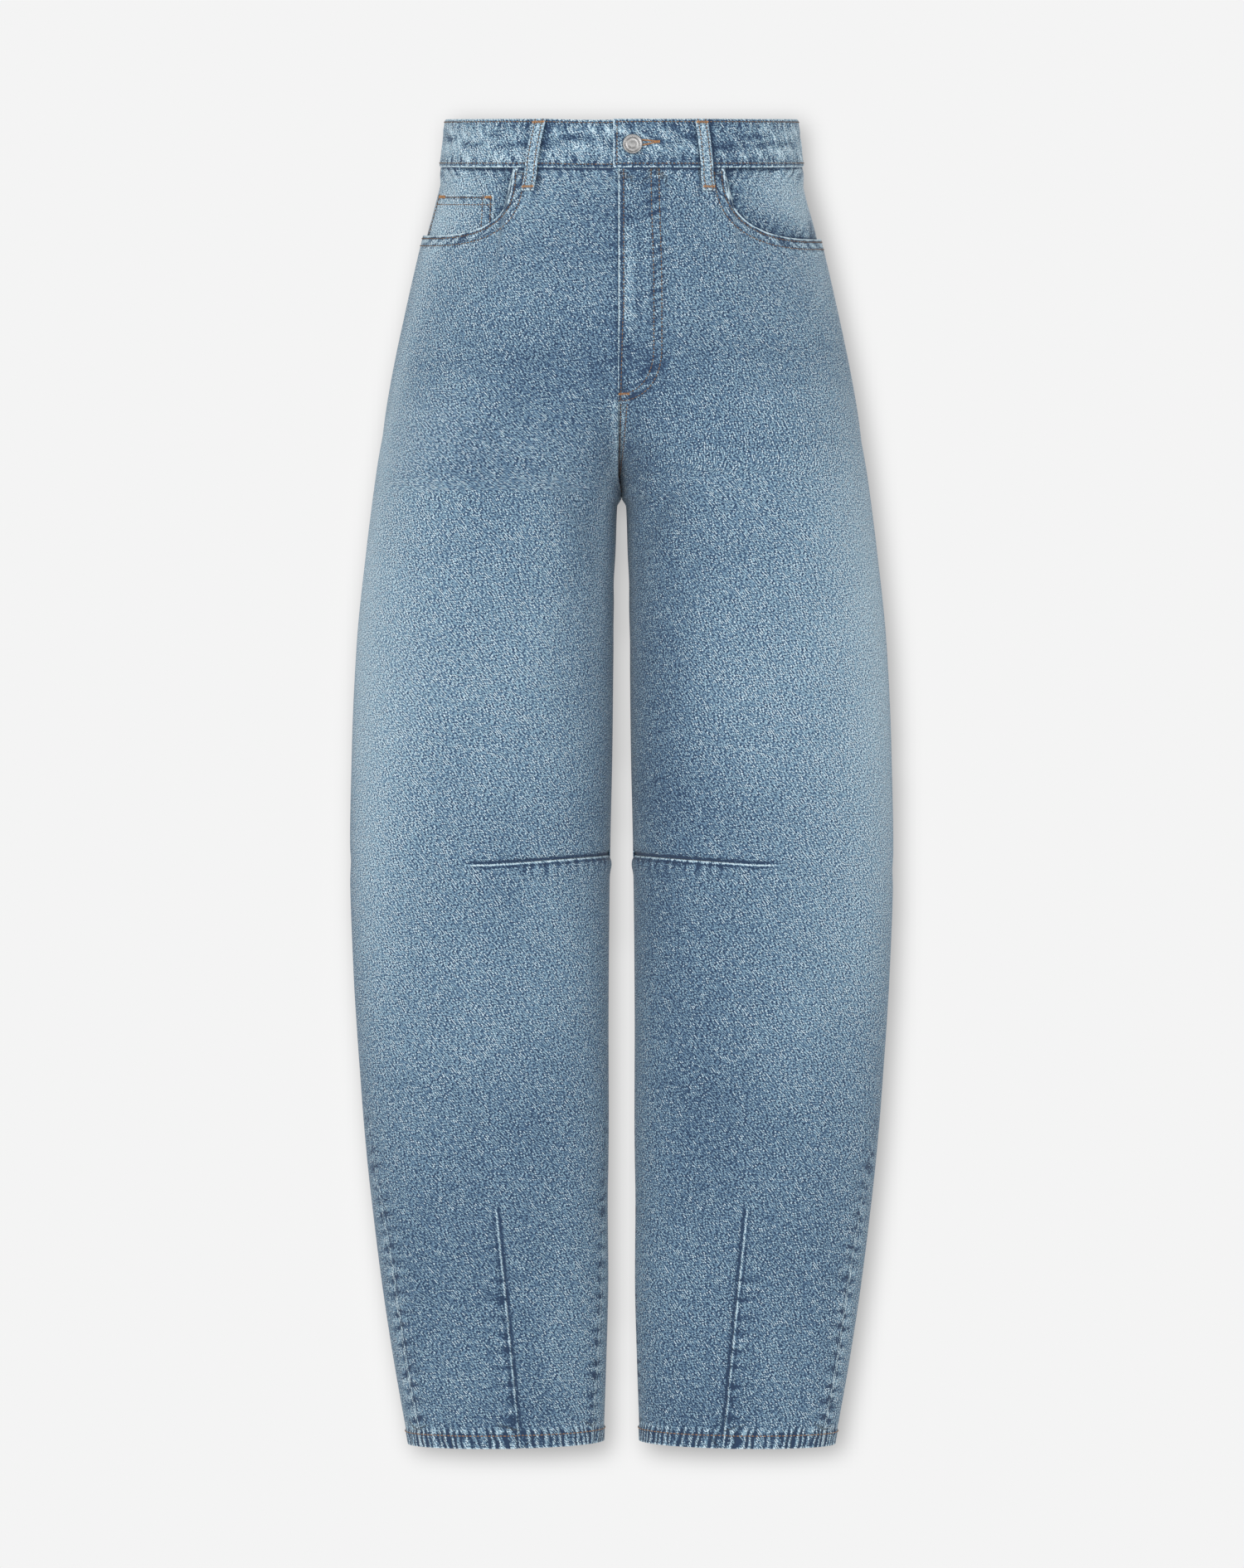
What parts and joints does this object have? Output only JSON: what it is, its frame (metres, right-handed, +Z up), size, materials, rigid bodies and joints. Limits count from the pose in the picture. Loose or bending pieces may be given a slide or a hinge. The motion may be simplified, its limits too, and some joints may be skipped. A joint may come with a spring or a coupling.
{
  "type": "barrel leg trousers",
  "caption": "High-waisted denim trousers with curved barrel legs, knee and hem darts, scoop front pockets and a buttoned waistband, in the round.",
  "frame": {"origin": "centre of the waist opening, level with the waistband's top edge at the sides; the garment is held here", "axes": "+Z up along the height, -Y towards the front with the button, +X towards the wearer's left"},
  "size_m": [0.4316, 0.2336, 1.0626],
  "materials": {
    "denim": "washed light-blue cotton twill, matt",
    "denim_trim": "washed light-blue cotton twill, paler on worn edges",
    "button_metal": "satin pressed steel"
  },
  "bodies": {
    "root": {"front_panel_right": "denim", "front_panel_left": "denim", "back_panel_right": "denim", "back_panel_left": "denim", "yoke_right": "denim", "yoke_left": "denim", "pocket_facing_right": "denim_trim", "pocket_facing_left": "denim_trim", "coin_pocket": "denim_trim", "back_pocket_right": "denim", "back_pocket_left": "denim", "waistband": "denim_trim", "belt_loop_front_right": "denim_trim", "belt_loop_front_left": "denim_trim", "belt_loop_back_right": "denim_trim", "belt_loop_back_left": "denim_trim", "belt_loop_back_centre": "denim_trim", "button": "button_metal"}
  },
  "joints": []
}
